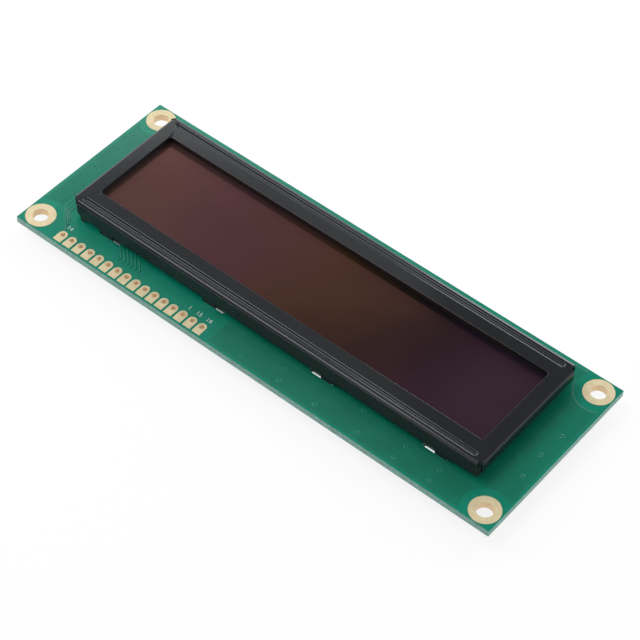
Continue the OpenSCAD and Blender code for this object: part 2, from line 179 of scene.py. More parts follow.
MASK_GLOSS = {
    "rough": (0.12, 0.17), "grains": 2600, "blotches": 240, "depth": 0.005 * MM, "Specular_IOR_Level": 0.34}
mask_on_laminate = surface("mask_on_laminate", MASK_GREEN, MASK_DEEP, **MASK_GLOSS)
tree = mask_on_laminate.node_tree
shader = tree.nodes["Principled BSDF"]
on_face = on_flat(tree)
layers = put(tree, "ShaderNodeMapping", {"Vector": object_place(tree), "Scale": CLOTH_PER_METRE}).outputs[0]
cloth = put(tree, "ShaderNodeTexNoise", {"Vector": layers, "Scale": 1.0, "Detail": 4}).outputs["Fac"]
cut = mix_colour(tree, spread(tree, cloth, CLOTH_LOW, CLOTH_HIGH, 0, 1), EDGE_PALE, EDGE_BROWN)
mask_colour = shader.inputs["Base Color"].links[0].from_socket
mask_rough = shader.inputs["Roughness"].links[0].from_socket
tree.links.new(mix_colour(tree, on_face, cut, mask_colour), shader.inputs["Base Color"])
bare_rough = sums(tree, "SUBTRACT", EDGE_ROUGH, sums(tree, "MULTIPLY", on_face, EDGE_ROUGH))
tree.links.new(sums(tree, "MAXIMUM", mask_rough, bare_rough), shader.inputs["Roughness"])
dress("circuit_board", mask_on_laminate)

# Copper pours
# Foil left on both faces round the edge of the board, under the mask, and etched clear of holes and slots.
# The mask runs down to the laminate in a narrow darker slope along the foil's edge.
POUR_EDGE = 0.6 * MM
POUR_RISE = 0.035 * MM
POUR_SLOPE = 0.3 * MM
SHARPEST_MITRE = 0.4
MERGE_REACH = 0.001 * MM
CORNER_CLEAR = 5.0 * MM
SLOT_CLEAR = 0.3 * MM
HOLE_X, HOLE_Y = 57.5 * MM, 18.5 * MM
TAB_X = (-43.2 * MM, -15.1 * MM, 15.1 * MM, 43.2 * MM)
SLOT_SHIFT = 1.1 * MM
NEAR_SLOT_Y, FAR_SLOT_Y = -13.475 * MM, 17.075 * MM
SLOT_LENGTH, SLOT_WIDTH, SLOT_ROUND = 5.9 * MM, 1.35 * MM, 0.25 * MM
BUS_X, BUS_END = -56.2 * MM, -9.6 * MM
PIN_FIELD_LEFT, PIN_FIELD_RIGHT, PIN_FIELD_FAR = -52 * MM, -9 * MM, -12.4 * MM
UNDER_X, UNDER_NEAR, UNDER_FAR = 49.5 * MM, -11.5 * MM, 15 * MM
BACK_LEFT, BACK_BUS_END, BACK_FAR = -53 * MM, -6.4 * MM, 14.8 * MM
mask_on_copper = surface("mask_on_copper", (0.006, 0.180, 0.112, 1), (0.005, 0.158, 0.096, 1), **MASK_GLOSS)
SLOPE_GLOSS = {**MASK_GLOSS, "rough": (0.35, 0.45), "Specular_IOR_Level": 0.2}
mask_slope = surface("mask_slope", (0.004, 0.165, 0.106, 1), (0.004, 0.150, 0.096, 1), **SLOPE_GLOSS)


def arc(x, y, radius, start, end, count=24):
    """Points along an arc, angles in degrees."""
    turns = [radians(start + (end - start) * i / count) for i in range(count + 1)]
    return [(x + radius * cos(t), y + radius * sin(t)) for t in turns]


def slot_ring(x, y):
    """Opening in the foil round one tab slot."""
    middle = x - SLOT_SHIFT * (1 if x > 0 else -1)
    half_x, half_y = SLOT_LENGTH / 2 - SLOT_ROUND, SLOT_WIDTH / 2 - SLOT_ROUND
    reach = SLOT_ROUND + SLOT_CLEAR
    corners = ((1, 1, 0), (-1, 1, 90), (-1, -1, 180), (1, -1, 270))
    return [point for sx, sy, turn in corners
            for point in arc(middle + sx * half_x, y + sy * half_y, reach, turn, turn + 90, 8)]


def evaluated_mesh(holder):
    """Plain mesh of an object with its modifiers; the object is then removed."""
    bpy.context.scene.collection.objects.link(holder)
    depsgraph = bpy.context.evaluated_depsgraph_get()
    mesh = bpy.data.meshes.new_from_object(holder.evaluated_get(depsgraph), depsgraph=depsgraph)
    bpy.data.objects.remove(holder)
    return mesh


def filled(rings):
    """Flat mesh inside the first ring and outside the others."""
    curve = bpy.data.curves.new("outline", "CURVE")
    curve.dimensions = "2D"
    curve.fill_mode = "FRONT"
    for ring in rings:
        spline = curve.splines.new("POLY")
        spline.points.add(len(ring) - 1)
        for point, (x, y) in zip(spline.points, ring):
            point.co = (x, y, 0, 1)
        spline.use_cyclic_u = True
    holder = bpy.data.objects.new("outline", curve)
    mesh = evaluated_mesh(holder)
    bpy.data.curves.remove(curve)
    return mesh


def place_piece(name, mesh, replaced=()):
    """New piece of the module, riding on its one body."""
    mesh.name = name
    piece = bpy.data.objects.new(name, mesh)
    bpy.context.scene.collection.objects.link(piece)
    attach(piece, "root")
    if replaced:
        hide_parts(*replaced)
    return piece


def eased(ring, step):
    """Ring of points moved sideways by a step, to the left of its travel."""
    moved = []
    for before, here, after in zip(ring[-1:] + ring[:-1], ring, ring[1:] + ring[:1]):
        arriving = (Vector(here) - Vector(before)).normalized()
        leaving = (Vector(after) - Vector(here)).normalized()
        sideways = Vector((-arriving.y - leaving.y, arriving.x + leaving.x)).normalized()
        reach = step / max(SHARPEST_MITRE, sideways.y * arriving.x - sideways.x * arriving.y)
        moved.append((here[0] + reach * sideways.x, here[1] + reach * sideways.y))
    return moved


def foil(name, rings, level, side):
    """Foil area under the mask: a closed thin plate with a sloping border, on one side of the board."""
    shape = bmesh.new()
    raised = []
    for place, ring in enumerate(rings):
        turn = sum(a[0] * b[1] - b[0] * a[1] for a, b in zip(ring, ring[1:] + ring[:1]))
        step = POUR_SLOPE if (turn > 0) == (place == 0) else -POUR_SLOPE
        raised.append(eased(ring, step))
        foot = [shape.verts.new((x, y, 0)) for x, y in ring]
        head = [shape.verts.new((x, y, POUR_RISE)) for x, y in raised[-1]]
        for i in range(len(ring)):
            shape.faces.new((foot[i - 1], foot[i], head[i], head[i - 1])).material_index = 1
    for outline, rise in ((rings, 0), (raised, POUR_RISE)):
        flat = filled(outline)
        flat.transform(Matrix.Translation((0, 0, rise)))
        shape.from_mesh(flat)
        bpy.data.meshes.remove(flat)
    bmesh.ops.remove_doubles(shape, verts=shape.verts, dist=MERGE_REACH)
    for vert in shape.verts:
        vert.co.z = level + side * vert.co.z
    bmesh.ops.recalc_face_normals(shape, faces=shape.faces)
    mesh = bpy.data.meshes.new(name)
    shape.to_mesh(mesh)
    shape.free()
    mesh.materials.append(mask_on_copper)
    mesh.materials.append(mask_slope)
    return place_piece(name, mesh)


edge_x = board_high.x - POUR_EDGE
edge_y = board_high.y - POUR_EDGE
reach_x = sqrt(CORNER_CLEAR ** 2 - (edge_y - HOLE_Y) ** 2)
reach_y = sqrt(CORNER_CLEAR ** 2 - (edge_x - HOLE_X) ** 2)
from_turn = degrees(atan2(-reach_y, edge_x - HOLE_X))
to_turn = degrees(atan2(edge_y - HOLE_Y, -reach_x)) - 360
far_right = arc(HOLE_X, HOLE_Y, CORNER_CLEAR, from_turn, to_turn)
far_left = [(-x, y) for x, y in reversed(far_right)]
near_left = [(-x, -y) for x, y in far_right]
near_right = [(x, -y) for x, y in reversed(far_right)]
near_left_tip = [point for point in near_left if point[0] < BUS_X]
bus_edge = [(BUS_X, near_left_tip[-1][1]), (BUS_X, BUS_END)]
around = far_right + far_left + near_left_tip + bus_edge
near_start = (PIN_FIELD_RIGHT, -edge_y)
near_slots = [slot_ring(x, NEAR_SLOT_Y) for x in TAB_X if x > 0]
slots = near_slots + [slot_ring(x, FAR_SLOT_Y) for x in TAB_X]
front_rim = [(PIN_FIELD_LEFT, PIN_FIELD_FAR), (PIN_FIELD_RIGHT, PIN_FIELD_FAR), near_start]
under_panel = [(-UNDER_X, UNDER_NEAR), (UNDER_X, UNDER_NEAR), (UNDER_X, UNDER_FAR), (-UNDER_X, UNDER_FAR)]
foil("front_pour", [around + front_rim + near_right, under_panel] + slots, board_top, 1)
back_rim = [
    (BACK_LEFT, BACK_BUS_END), (BACK_LEFT, BACK_FAR), (UNDER_X, BACK_FAR), (UNDER_X, UNDER_NEAR),
    (PIN_FIELD_RIGHT, UNDER_NEAR), near_start]
foil("back_pour", [around + back_rim + near_right] + slots, board_back, -1)

# Tracks
# Etched copper strips under the mask, which follows them as low ridges.
# On the back they lead from the pin row to the controller and along the chips.
TRACK_WIDTH, BACK_TRACK_WIDTH, POWER_WIDTH = 0.32 * MM, 0.24 * MM, 1.1 * MM
TRACK_RISE = 0.03 * MM
TRACK_BEND = 0.4 * MM
PIN_PITCH = 2.54 * MM
PIN_COUNT = 16
land_low, land_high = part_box("pin_lands")
first_pin_x = (land_low.x + land_high.x - (PIN_COUNT - 1) * PIN_PITCH) / 2


def geometry_tree(name, given, result):
    """Empty geometry tree with named inputs and one output."""
    tree = bpy.data.node_groups.new(name, "GeometryNodeTree")
    for label, kind in given:
        tree.interface.new_socket(label, in_out="INPUT", socket_type="NodeSocket" + kind)
    tree.interface.new_socket(result, in_out="OUTPUT", socket_type="NodeSocketGeometry")
    return tree, tree.nodes.new("NodeGroupInput").outputs, tree.nodes.new("NodeGroupOutput").inputs


def hand_out(tree, shape, material, result):
    """Ends a geometry tree with plain geometry in one material."""
    plain = put(tree, "GeometryNodeRealizeInstances", {0: shape}).outputs[0]
    coated = put(tree, "GeometryNodeSetMaterial", {"Geometry": plain, "Material": material}).outputs[0]
    tree.links.new(coated, result[0])


def grow(tree, mesh, values):
    """Plain mesh that a geometry tree makes from a start mesh."""
    holder = bpy.data.objects.new("start", mesh)
    modifier = holder.modifiers.new("grow", "NODES")
    modifier.node_group = tree
    for item in tree.interface.items_tree:
        if item.in_out == "INPUT" and item.name in values:
            modifier[item.identifier] = values[item.name]
    return evaluated_mesh(holder)


def strip_tree():
    """Lays a low strip with sloping sides and round bends along every path."""
    tree, given, result = geometry_tree("strip_along_path", (
        ("Paths", "Geometry"), ("Upper width", "Float"), ("Lower width", "Float"), ("Rise", "Float"),
        ("Bend radius", "Float"), ("Finish", "Material")), "Strips")
    path = put(tree, "GeometryNodeMeshToCurve", {0: given["Paths"]}).outputs[0]
    path = put(tree, "GeometryNodeFilletCurve", {
        "Curve": path, "Count": 5, "Radius": given["Bend radius"], "Limit Radius": True},
        mode="POLY").outputs[0]
    path = put(tree, "GeometryNodeSetCurveNormal", {"Curve": path}, mode="Z_UP").outputs[0]
    section = put(tree, "GeometryNodeCurvePrimitiveQuadrilateral", {
        "Bottom Width": given["Upper width"], "Top Width": given["Lower width"],
        "Height": given["Rise"], "Offset": 0.0}, mode="TRAPEZOID").outputs[0]
    strip = put(tree, "GeometryNodeCurveToMesh", {
        "Curve": path, "Profile Curve": section, "Fill Caps": True}).outputs[0]
    hand_out(tree, strip, given["Finish"], result)
    return tree


strip_along_path = strip_tree()


def strips(name, paths, level, side, width, rise, bend, material):
    """Strips along paths given in millimetres, on one side of the board."""
    points, edges = [], []
    for path in paths:
        start = len(points)
        closed = path[0] == path[-1]
        corners = path[:-1] if closed else path
        points += [(x * MM, y * MM, level + side * rise / 2) for x, y in corners]
        edges += [(start + i, start + i + 1) for i in range(len(corners) - 1)]
        if closed:
            edges.append((len(points) - 1, start))
    mesh = bpy.data.meshes.new(name)
    mesh.from_pydata(points, edges, [])
    narrow = max(width - 4 * rise, width / 2)
    upper, lower = (narrow, width) if side > 0 else (width, narrow)
    made = grow(strip_along_path, mesh, {
        "Upper width": upper, "Lower width": lower, "Rise": rise, "Bend radius": bend, "Finish": material})
    return place_piece(name, made)


def tracks(name, paths, level, side, width):
    """Copper strips under the mask."""
    return strips(name, paths, level, side, width, TRACK_RISE, TRACK_BEND, mask_on_copper)


front_paths = [
    [(-55.4, -9.0), (-55.4, -13.4), (-51.1, -17.7), (-50.6, -18.7)],
    [(-54.5, -9.9), (-54.5, -13.6), (-51.4, -16.7)],
    [(-53.6, -10.8), (-53.6, -13.9), (-52.0, -15.5)],
    [(-6.0, -14.9), (33.5, -14.9), (35.2, -13.2)],
    [(-2.0, -17.0), (32.0, -17.0), (36.0, -13.0)],
]
BUNDLE_COUNT, BUNDLE_X, BUNDLE_STEP, BUNDLE_SHIFT = 6, -39.6, 1.05, 2.9
for step in range(BUNDLE_COUNT):
    x = BUNDLE_X + BUNDLE_STEP * step
    shifted = x + BUNDLE_SHIFT
    front_paths.append([(x, -12.6), (x, -13.6), (shifted, -16.5), (shifted, -17.3)])
tracks("front_tracks", front_paths, board_top, 1, TRACK_WIDTH)

LAND_END, FIRST_RUN, RUN_STEP, TURN_X, DAM_X = -18.6, -8.0, 0.55, -17.75, -5.5
back_paths = []
for pin in range(PIN_COUNT):
    x = (first_pin_x + pin * PIN_PITCH) / MM
    run_y = FIRST_RUN - RUN_STEP * pin
    turn_x = max(x, TURN_X)
    turn_y = run_y + max(x - TURN_X, 0)
    path = [(x, LAND_END), (x, turn_y)] if x > TURN_X else [(x, LAND_END), (x, run_y), (turn_x, run_y)]
    back_paths.append(path + [(DAM_X, turn_y + (DAM_X - turn_x))])
resistor_low, resistor_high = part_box("resistor_caps")
capacitor_low, capacitor_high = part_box("capacitor_caps")
RESISTOR_COUNT, CAPACITOR_COUNT = 8, 5
CHIP_WIDTH = 1.25 * MM


def row_places(low, high, count):
    """Middles of the chips of a row along X, and their spacing."""
    start = low.x + CHIP_WIDTH / 2
    return start, (high.x - low.x - CHIP_WIDTH) / (count - 1)


resistor_start, resistor_step = row_places(resistor_low, resistor_high, RESISTOR_COUNT)
capacitor_start, capacitor_step = row_places(capacitor_low, capacitor_high, CAPACITOR_COUNT)
RESISTOR_NEAR_END, RESISTOR_FAR_END = 1.2, 2.8
CAPACITOR_NEAR_END, CAPACITOR_FAR_END = -3.3, -1.7
FAN_TOP, FAN_STEP, FAN_END = 8.0, 0.5, -7.5
COMMON_Y, COMMON_EDGE, COMMON_END = -0.6, -0.49, -8.0
POWER_NEAR, POWER_FAR, COIL_Y = -5.2, 0.1, 4.0
for chip in range(RESISTOR_COUNT):
    x = (resistor_start + chip * resistor_step) / MM
    run_y = FAN_TOP - FAN_STEP * chip
    back_paths.append([(x, RESISTOR_FAR_END), (x, run_y), (FAN_END, run_y)])
    back_paths.append([(x, RESISTOR_NEAR_END), (x, COMMON_EDGE)])
back_paths.append([(resistor_start / MM, COMMON_Y), (COMMON_END, COMMON_Y)])
for chip in range(CAPACITOR_COUNT):
    x = (capacitor_start + chip * capacitor_step) / MM
    back_paths.append([(x, CAPACITOR_NEAR_END), (x, POWER_NEAR)])
    back_paths.append([(x, CAPACITOR_FAR_END), (x, POWER_FAR)])
back_paths += [
    [(2.5, 3.05), (17.0, 3.05)], [(2.5, 4.95), (17.0, 4.95)],
    [(2.0, 0.5), (12.0, 0.5), (15.5, -3.0), (15.5, -11.8)],
]
tracks("back_tracks", back_paths, board_back, -1, BACK_TRACK_WIDTH)
power_paths = [
    [(19.4, POWER_NEAR), (30.6, POWER_NEAR)], [(25.0, -5.72), (25.0, -12.0)],
    [(19.4, POWER_FAR), (30.6, POWER_FAR)], [(23.3, 0.62), (23.3, 2.0)],
    [(19.6, COIL_Y), (22.8, COIL_Y)], [(27.2, COIL_Y), (30.0, COIL_Y)],
    [(33.2, COIL_Y), (38.0, COIL_Y), (44.0, 10.0), (44.0, 15.2)],
]
tracks("power_tracks", power_paths, board_back, -1, POWER_WIDTH)

# Vias
# Small plated holes that join the tracks of the two faces, closed by the mask.
# At one end of the board they show as pits, drawn as low discs painted nearly black as painted shade in their
# holes, and elsewhere as low rings.
VIA_RADIUS, VIA_RING, VIA_PIT = 0.42 * MM, 0.16 * MM, 0.17 * MM
RING_FLATNESS, PIT_FLATNESS = 0.2, 0.16
pit_places = [
    (-58.9, 11.2), (-58.8, 6.1), (-59.4, 2.1), (-58.8, -1.0), (-56.7, -6.5), (-59.1, -7.4), (-59.4, -10.0),
    (-51.4, -16.7), (-52.0, -15.5),
]
ring_places = [
    (58.3, 4.9), (57.9, -1.4), (58.2, -7.7), (-1.3, -19.9), (8.4, -19.9), (17.5, -19.9), (27.9, -19.9),
    (37.0, -19.9), (45.5, -19.9), (37.0, -16.2), (45.5, -16.7), (7.4, -16.9), (25.5, -14.7),
]


def via_tree():
    """Puts one flat ring or one pit on every point."""
    tree, given, result = geometry_tree("via_on_point", (
        ("Points", "Geometry"), ("Ring radius", "Float"), ("Ring section", "Float"), ("Flatness", "Float"),
        ("Finish", "Material")), "Vias")
    circle = put(tree, "GeometryNodeCurvePrimitiveCircle", {
        "Resolution": 20, "Radius": given["Ring radius"]}).outputs[0]
    section = put(tree, "GeometryNodeCurvePrimitiveCircle", {
        "Resolution": 8, "Radius": given["Ring section"]}).outputs[0]
    ring = put(tree, "GeometryNodeCurveToMesh", {"Curve": circle, "Profile Curve": section}).outputs[0]
    ring = put(tree, "GeometryNodeMergeByDistance", {"Geometry": ring, "Distance": MERGE_REACH}).outputs[0]
    ring = put(tree, "GeometryNodeSetShadeSmooth", {"Geometry": ring}).outputs[0]
    squash = put(tree, "ShaderNodeCombineXYZ", {"X": 1.0, "Y": 1.0, "Z": given["Flatness"]}).outputs[0]
    many = put(tree, "GeometryNodeInstanceOnPoints", {
        "Points": given["Points"], "Instance": ring, "Scale": squash}).outputs[0]
    hand_out(tree, many, given["Finish"], result)
    return tree


via_on_point = via_tree()
both_faces = (board_top + POUR_RISE, board_back - POUR_RISE)


def vias(name, places, radius, section, flatness, material):
    """Like vias at places given in millimetres, on both faces of the board."""
    points = bpy.data.meshes.new("via_points")
    points.from_pydata([(x * MM, y * MM, level) for level in both_faces for x, y in places], [], [])
    made = grow(via_on_point, points, {
        "Ring radius": radius, "Ring section": section, "Flatness": flatness, "Finish": material})
    return place_piece(name, made)


via_mask = surface("via_mask", (0.014, 0.215, 0.148, 1), (0.011, 0.190, 0.130, 1), **MASK_GLOSS)
# Painted shade: the pits are low discs painted nearly black for the shade inside the holes.
pit_painted_shade = surface("pit_painted_shade", (0.002, 0.050, 0.034, 1), (0.002, 0.040, 0.028, 1), **MASK_GLOSS)
vias("via_rings", ring_places, VIA_RADIUS, VIA_RING, RING_FLATNESS, via_mask)
vias("via_pits", pit_places, VIA_PIT / 2, VIA_PIT / 2, PIT_FLATNESS, pit_painted_shade)

# Plated lands
# Copper rings and pads left open in the mask, with a thin pale gold finish over nickel.
# The linings of their holes are plated with them, and are painted a lighter gold than the faces as painted
# light inside the holes.
LINING_PAINTED_LIGHT_GOLD = (0.92, 0.73, 0.50, 1)
plating = surface(
    "pale_gold_plating", (0.64, 0.555, 0.345, 1), (0.57, 0.475, 0.285, 1),
    rough=(0.48, 0.60), grains=5200, blotches=800, depth=0.006 * MM, Metallic=0.3)
tree = plating.node_tree
shader = tree.nodes["Principled BSDF"]
face_colour = shader.inputs["Base Color"].links[0].from_socket
# Painted light: the hole linings take a lighter gold than the faces, for light that reaches into the holes.
tree.links.new(mix_colour(tree, on_flat(tree), LINING_PAINTED_LIGHT_GOLD, face_colour), shader.inputs["Base Color"])
for node in ("corner_rings", "pin_lands", "jumper_lands"):
    dress(node, plating)

# Printed marks
# White ink screened on the mask: the numbers of the end pins on the front,
# and on the back the outlines of the parts and the ring that dams the epoxy.
NUMBER_SIZE = 1.45 * MM
NUMBER_WEIGHT = -0.005 * MM
INK_RISE, INK_LINE, INK_BEND = 0.02 * MM, 0.16 * MM, 0.3 * MM
DAM_CLEAR = 0.7 * MM
SAME_POINT = 0.0001 * MM
number_places = (("14", -50.3, -17.7), ("1", -17.2, -17.7), ("15", -14.75, -17.7), ("16", -12.05, -17.7))
ink = surface(
    "white_ink", (0.66, 0.74, 0.70, 1), (0.54, 0.64, 0.59, 1),
    rough=(0.5, 0.65), grains=6000, blotches=1500, depth=0.004 * MM)


def printed_number(digits, x, y):
    """Flat mesh of a number, centred on X, standing on Y."""
    letters = bpy.data.curves.new("number", "FONT")
    letters.body = digits
    letters.size = NUMBER_SIZE
    letters.align_x = "CENTER"
    letters.offset = NUMBER_WEIGHT
    letters.extrude = INK_RISE / 2
    mesh = evaluated_mesh(bpy.data.objects.new("number", letters))
    mesh.transform(Matrix.Translation((x * MM, y * MM, board_top + INK_RISE / 2)))
    bpy.data.curves.remove(letters)
    return mesh


def joined(name, meshes, material):
    """One mesh from several, in one material."""
    shape = bmesh.new()
    for part in meshes:
        shape.from_mesh(part)
        bpy.data.meshes.remove(part)
    mesh = bpy.data.meshes.new(name)
    bmesh.ops.remove_doubles(shape, verts=shape.verts, dist=SAME_POINT)
    for face in shape.faces:
        face.material_index = 0
    shape.to_mesh(mesh)
    shape.free()
    mesh.materials.append(material)
    return mesh


numbers = [printed_number(*number) for number in number_places]
place_piece("pin_numbers", joined("pin_numbers", numbers, ink))


def frame_path(x0, y0, x1, y1):
    """Rectangle as a closed path."""
    return [(x0, y0), (x1, y0), (x1, y1), (x0, y1), (x0, y0)]


dome_low, dome_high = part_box("controller_dome")
dome_x, dome_y = [(low + high) / 2 for low, high in zip(dome_low[:2], dome_high[:2])]
dome_radius = (dome_high.x - dome_low.x) / 2
dam = [(x / MM, y / MM) for x, y in arc(dome_x, dome_y, dome_radius + DAM_CLEAR, 0, 355, 71)]
ink_paths = [dam + dam[:1]]
for node, margin in (
    ("resistor_caps", 0.7), ("capacitor_caps", 0.7), ("coil_shield", 0.5), ("diode_leads", 0.4),
    ("converter_leads", 0.4),
):
    low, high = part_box(node)
    near_corner = (low.x / MM - margin, low.y / MM - margin)
    ink_paths.append(frame_path(*near_corner, high.x / MM + margin, high.y / MM + margin))
strips("back_outlines", ink_paths, board_back - TRACK_RISE, -1, INK_LINE, INK_RISE, INK_BEND, ink)

# Flexible tail
# Amber polyimide film with etched conductors, bonded to the panel's ledge and folded down in front of it.
# Its lower end lies on the board under the panel, where a row of solder joints holds it.
AMBER, AMBER_DEEP, CONDUCTOR_BROWN = (0.62, 0.31, 0.06, 1), (0.52, 0.24, 0.04, 1), (0.50, 0.20, 0.05, 1)
CONDUCTORS_PER_METRE = 1600
CONDUCTOR_INSIDE, CONDUCTOR_OUTSIDE = 0.22, 0.28
CONDUCTOR_RISE = 0.02 * MM
tail, tree, shader = finish("amber_tail", Roughness=0.32)
along = put(tree, "ShaderNodeSeparateXYZ", {0: object_place(tree)}).outputs[0]
phase = sums(tree, "FRACT", sums(tree, "MULTIPLY", along, CONDUCTORS_PER_METRE))
from_middle = sums(tree, "ABSOLUTE", sums(tree, "SUBTRACT", phase, 0.5))
on_copper = spread(tree, from_middle, CONDUCTOR_INSIDE, CONDUCTOR_OUTSIDE, 1, 0)
grain, blotch = grained(tree, grains=4000, blotches=300)
bare = mix_colour(tree, blotch, AMBER, AMBER_DEEP)
tree.links.new(mix_colour(tree, on_copper, bare, CONDUCTOR_BROWN), shader.inputs["Base Color"])
relief(tree, shader, on_copper, CONDUCTOR_RISE)
dress("flex_tail", tail)

JOINT_COUNT = 46
JOINT_WIDTH, JOINT_LENGTH, JOINT_HEIGHT = 0.5 * MM, 0.9 * MM, 0.16 * MM
JOINT_ROUND = 0.06 * MM
TAIL_END_Y = -9.1 * MM
tinned = surface(
    "tinned_metal", (0.66, 0.66, 0.65, 1), (0.56, 0.56, 0.56, 1),
    rough=(0.26, 0.40), grains=5000, blotches=900, depth=0.006 * MM, Metallic=1.0)


def rounded(shape, radius, steps=2):
    """Rounds every edge of a shape."""
    edges = list(shape.edges)
    bmesh.ops.bevel(shape, geom=edges, offset=radius, segments=steps, affect="EDGES", profile=0.5)
    bmesh.ops.recalc_face_normals(shape, faces=shape.faces)


def made_mesh(shape, name, material):
    """Mesh from a shape, in one material; the shape is then freed."""
    mesh = bpy.data.meshes.new(name)
    shape.to_mesh(mesh)
    shape.free()
    mesh.materials.append(material)
    return mesh


def block(low, high):
    """Box between two corners."""
    shape = bmesh.new()
    bmesh.ops.create_cube(shape, size=1.0)
    for vert in shape.verts:
        vert.co = Vector([a + (b - a) * (c + 0.5) for a, b, c in zip(low, high, vert.co)])
    return shape


def row_tree():
    """Repeats the start shape along a straight row."""
    tree, given, result = geometry_tree("row_of_parts", (
        ("Part", "Geometry"), ("Count", "Int"), ("Start", "Vector"), ("Step", "Vector"),
        ("Finish", "Material")), "Row")
    line = put(tree, "GeometryNodeMeshLine", {
        "Count": given["Count"], "Start Location": given["Start"], "Offset": given["Step"]}).outputs[0]
    row = put(tree, "GeometryNodeInstanceOnPoints", {"Points": line, "Instance": given["Part"]}).outputs[0]
    hand_out(tree, row, given["Finish"], result)
    return tree


row_of_parts = row_tree()


def place_row(name, shapes, count, start, step, material, replaced=()):
    """Row of parts along X, each made of the given shapes about the part's middle."""
    part = joined(name + "_part", [made_mesh(shape, name, material) for shape in shapes], material)
    made = grow(row_of_parts, part, {
        "Count": count, "Start": start, "Step": (step, 0, 0), "Finish": material})
    return place_piece(name, made, replaced)


tail_low, tail_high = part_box("flex_tail")
joint_step = (tail_high.x - tail_low.x) / JOINT_COUNT
joint = block((-JOINT_WIDTH / 2, -JOINT_LENGTH / 2, 0), (JOINT_WIDTH / 2, JOINT_LENGTH / 2, JOINT_HEIGHT))
rounded(joint, JOINT_ROUND)
first_joint = (tail_low.x + joint_step / 2, TAIL_END_Y, board_top)
place_row("tail_joints", [joint], JOINT_COUNT, first_joint, joint_step, tinned)

# Panel glass
# Two sheets of float glass sealed edge to edge; the front one carries the light-emitting layers.
# The rear one is hollowed for the grey drying layer.
GLASS_IOR = 1.52
dress("panel_glass", surface(
    "front_glass", (0.50, 0.60, 0.58, 1), (0.44, 0.55, 0.53, 1),
    rough=(0.03, 0.08), grains=900, blotches=120, depth=0.0005 * MM, Transmission_Weight=0.6, IOR=GLASS_IOR))
dress("panel_cap", surface(
    "cover_glass", (0.30, 0.34, 0.34, 1), (0.22, 0.26, 0.26, 1),
    rough=(0.10, 0.2), grains=1500, blotches=150, depth=0.001 * MM, Transmission_Weight=0.3, IOR=GLASS_IOR))

# Foam strips
# White double-sided adhesive foam, cut in two strips.
# They carry the panel on the board and hold it there.
dress("foam_strips", surface(
    "white_foam", (0.85, 0.85, 0.82, 1), (0.76, 0.76, 0.72, 1),
    rough=(0.8, 0.95), grains=7000, blotches=900, depth=0.04 * MM))

# Front film
# Dark polarising film laminated on the panel's glass; the switched-off dot matrix shows through it.
# Its tint runs from brown at one end to purple at the other, and its face mirrors the light dimly in red.
DOT_PITCH_X, DOT_PITCH_Y = 0.968 * MM, 1.18 * MM
DOT_GAP, DOT_SHIFT = 0.10, 1.0
DOT_GAP_TINT = (0.92, 0.92, 0.93, 1)
FILM_HALF, FILM_DRIFT, FILM_WAVE = 50 * MM, 0.07, 0.02 * MM
FILM_TINTS = (
    (0.0, (0.071, 0.038, 0.032, 1)), (0.25, (0.051, 0.024, 0.029, 1)), (0.5, (0.038, 0.0205, 0.011, 1)),
    (0.68, (0.0125, 0.0095, 0.0085, 1)), (0.8, (0.014, 0.009, 0.014, 1)), (0.9, (0.020, 0.012, 0.021, 1)),
    (1.0, (0.028, 0.018, 0.030, 1)),
)
film, tree, shader = finish("dark_film", Roughness=0.10, IOR=1.55, Specular_Tint=(1.0, 0.27, 0.24, 1))
across = put(tree, "ShaderNodeSeparateXYZ", {0: object_place(tree)}).outputs
grain, blotch = grained(tree, grains=3000, blotches=42)
along_film = spread(tree, across[0], -FILM_HALF, FILM_HALF, 0, 1)
drift = sums(tree, "ADD", along_film, spread(tree, blotch, 0, 1, -FILM_DRIFT, FILM_DRIFT))
tint = put(tree, "ShaderNodeValToRGB", {0: drift})
stops = tint.color_ramp.elements
for stop, (position, colour) in zip(stops, (FILM_TINTS[0], FILM_TINTS[-1])):
    stop.position, stop.color = position, colour
for position, colour in FILM_TINTS[1:-1]:
    stops.new(position).color = colour
gaps = []
for place, pitch in ((across[0], DOT_PITCH_X), (across[1], DOT_PITCH_Y)):
    cell = sums(tree, "FRACT", sums(tree, "DIVIDE", sums(tree, "ADD", place, DOT_SHIFT), pitch))
    from_middle = sums(tree, "ABSOLUTE", sums(tree, "SUBTRACT", cell, 0.5))
    gaps.append(spread(tree, from_middle, 0.5 - DOT_GAP, 0.5 - DOT_GAP / 3, 0, 1))
gap = sums(tree, "MAXIMUM", *gaps)
darker = put(tree, "ShaderNodeMix", {0: 1.0, 6: tint.outputs[0], 7: DOT_GAP_TINT},
             data_type="RGBA", blend_type="MULTIPLY").outputs[2]
tree.links.new(mix_colour(tree, gap, tint.outputs[0], darker), shader.inputs["Base Color"])
relief(tree, shader, blotch, FILM_WAVE)
dress("front_film", film)

# Gasket
# Black closed-cell foam, cut to a frame round the window.
# It is squeezed between the bezel and the panel.
dress("window_gasket", surface(
    "black_foam", (0.006, 0.006, 0.006, 1), (0.010, 0.010, 0.010, 1),
    rough=(0.85, 0.95), grains=9000, blotches=900, depth=0.03 * MM))

# Bezel
# One piece of cold-rolled steel sheet, blanked, pressed, folded and stoved with satin black paint.
# Twisted tabs hold it to the board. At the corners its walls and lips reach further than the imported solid's.
LIP_DEEPER = 0.7 * MM
WALL_WING = 0.8 * MM
FAR_WALL_LONGER = 0.75 * MM
FAR_LIP_SHORTER = 0.35 * MM
LIP_LONGER = 0.6 * MM
EAR_CUT = 0.3 * MM
FLAT_TURN = radians(25)
HAIR = 0.02 * MM
bezel_low, bezel_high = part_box("bezel")
bezel_middle = (bezel_low.y + bezel_high.y) / 2
BEZEL_HALF_WIDTH, LIP_DEPTH = 15.9 * MM, 2.1 * MM
SHEET, BEND, CORNER_GAP, WALL_SHIFT = 0.4 * MM, 0.7 * MM, 1.25 * MM, 0.35 * MM
bezel_x, bezel_y = bezel_high.x, BEZEL_HALF_WIDTH
lip_edge = bezel_high.z - LIP_DEPTH
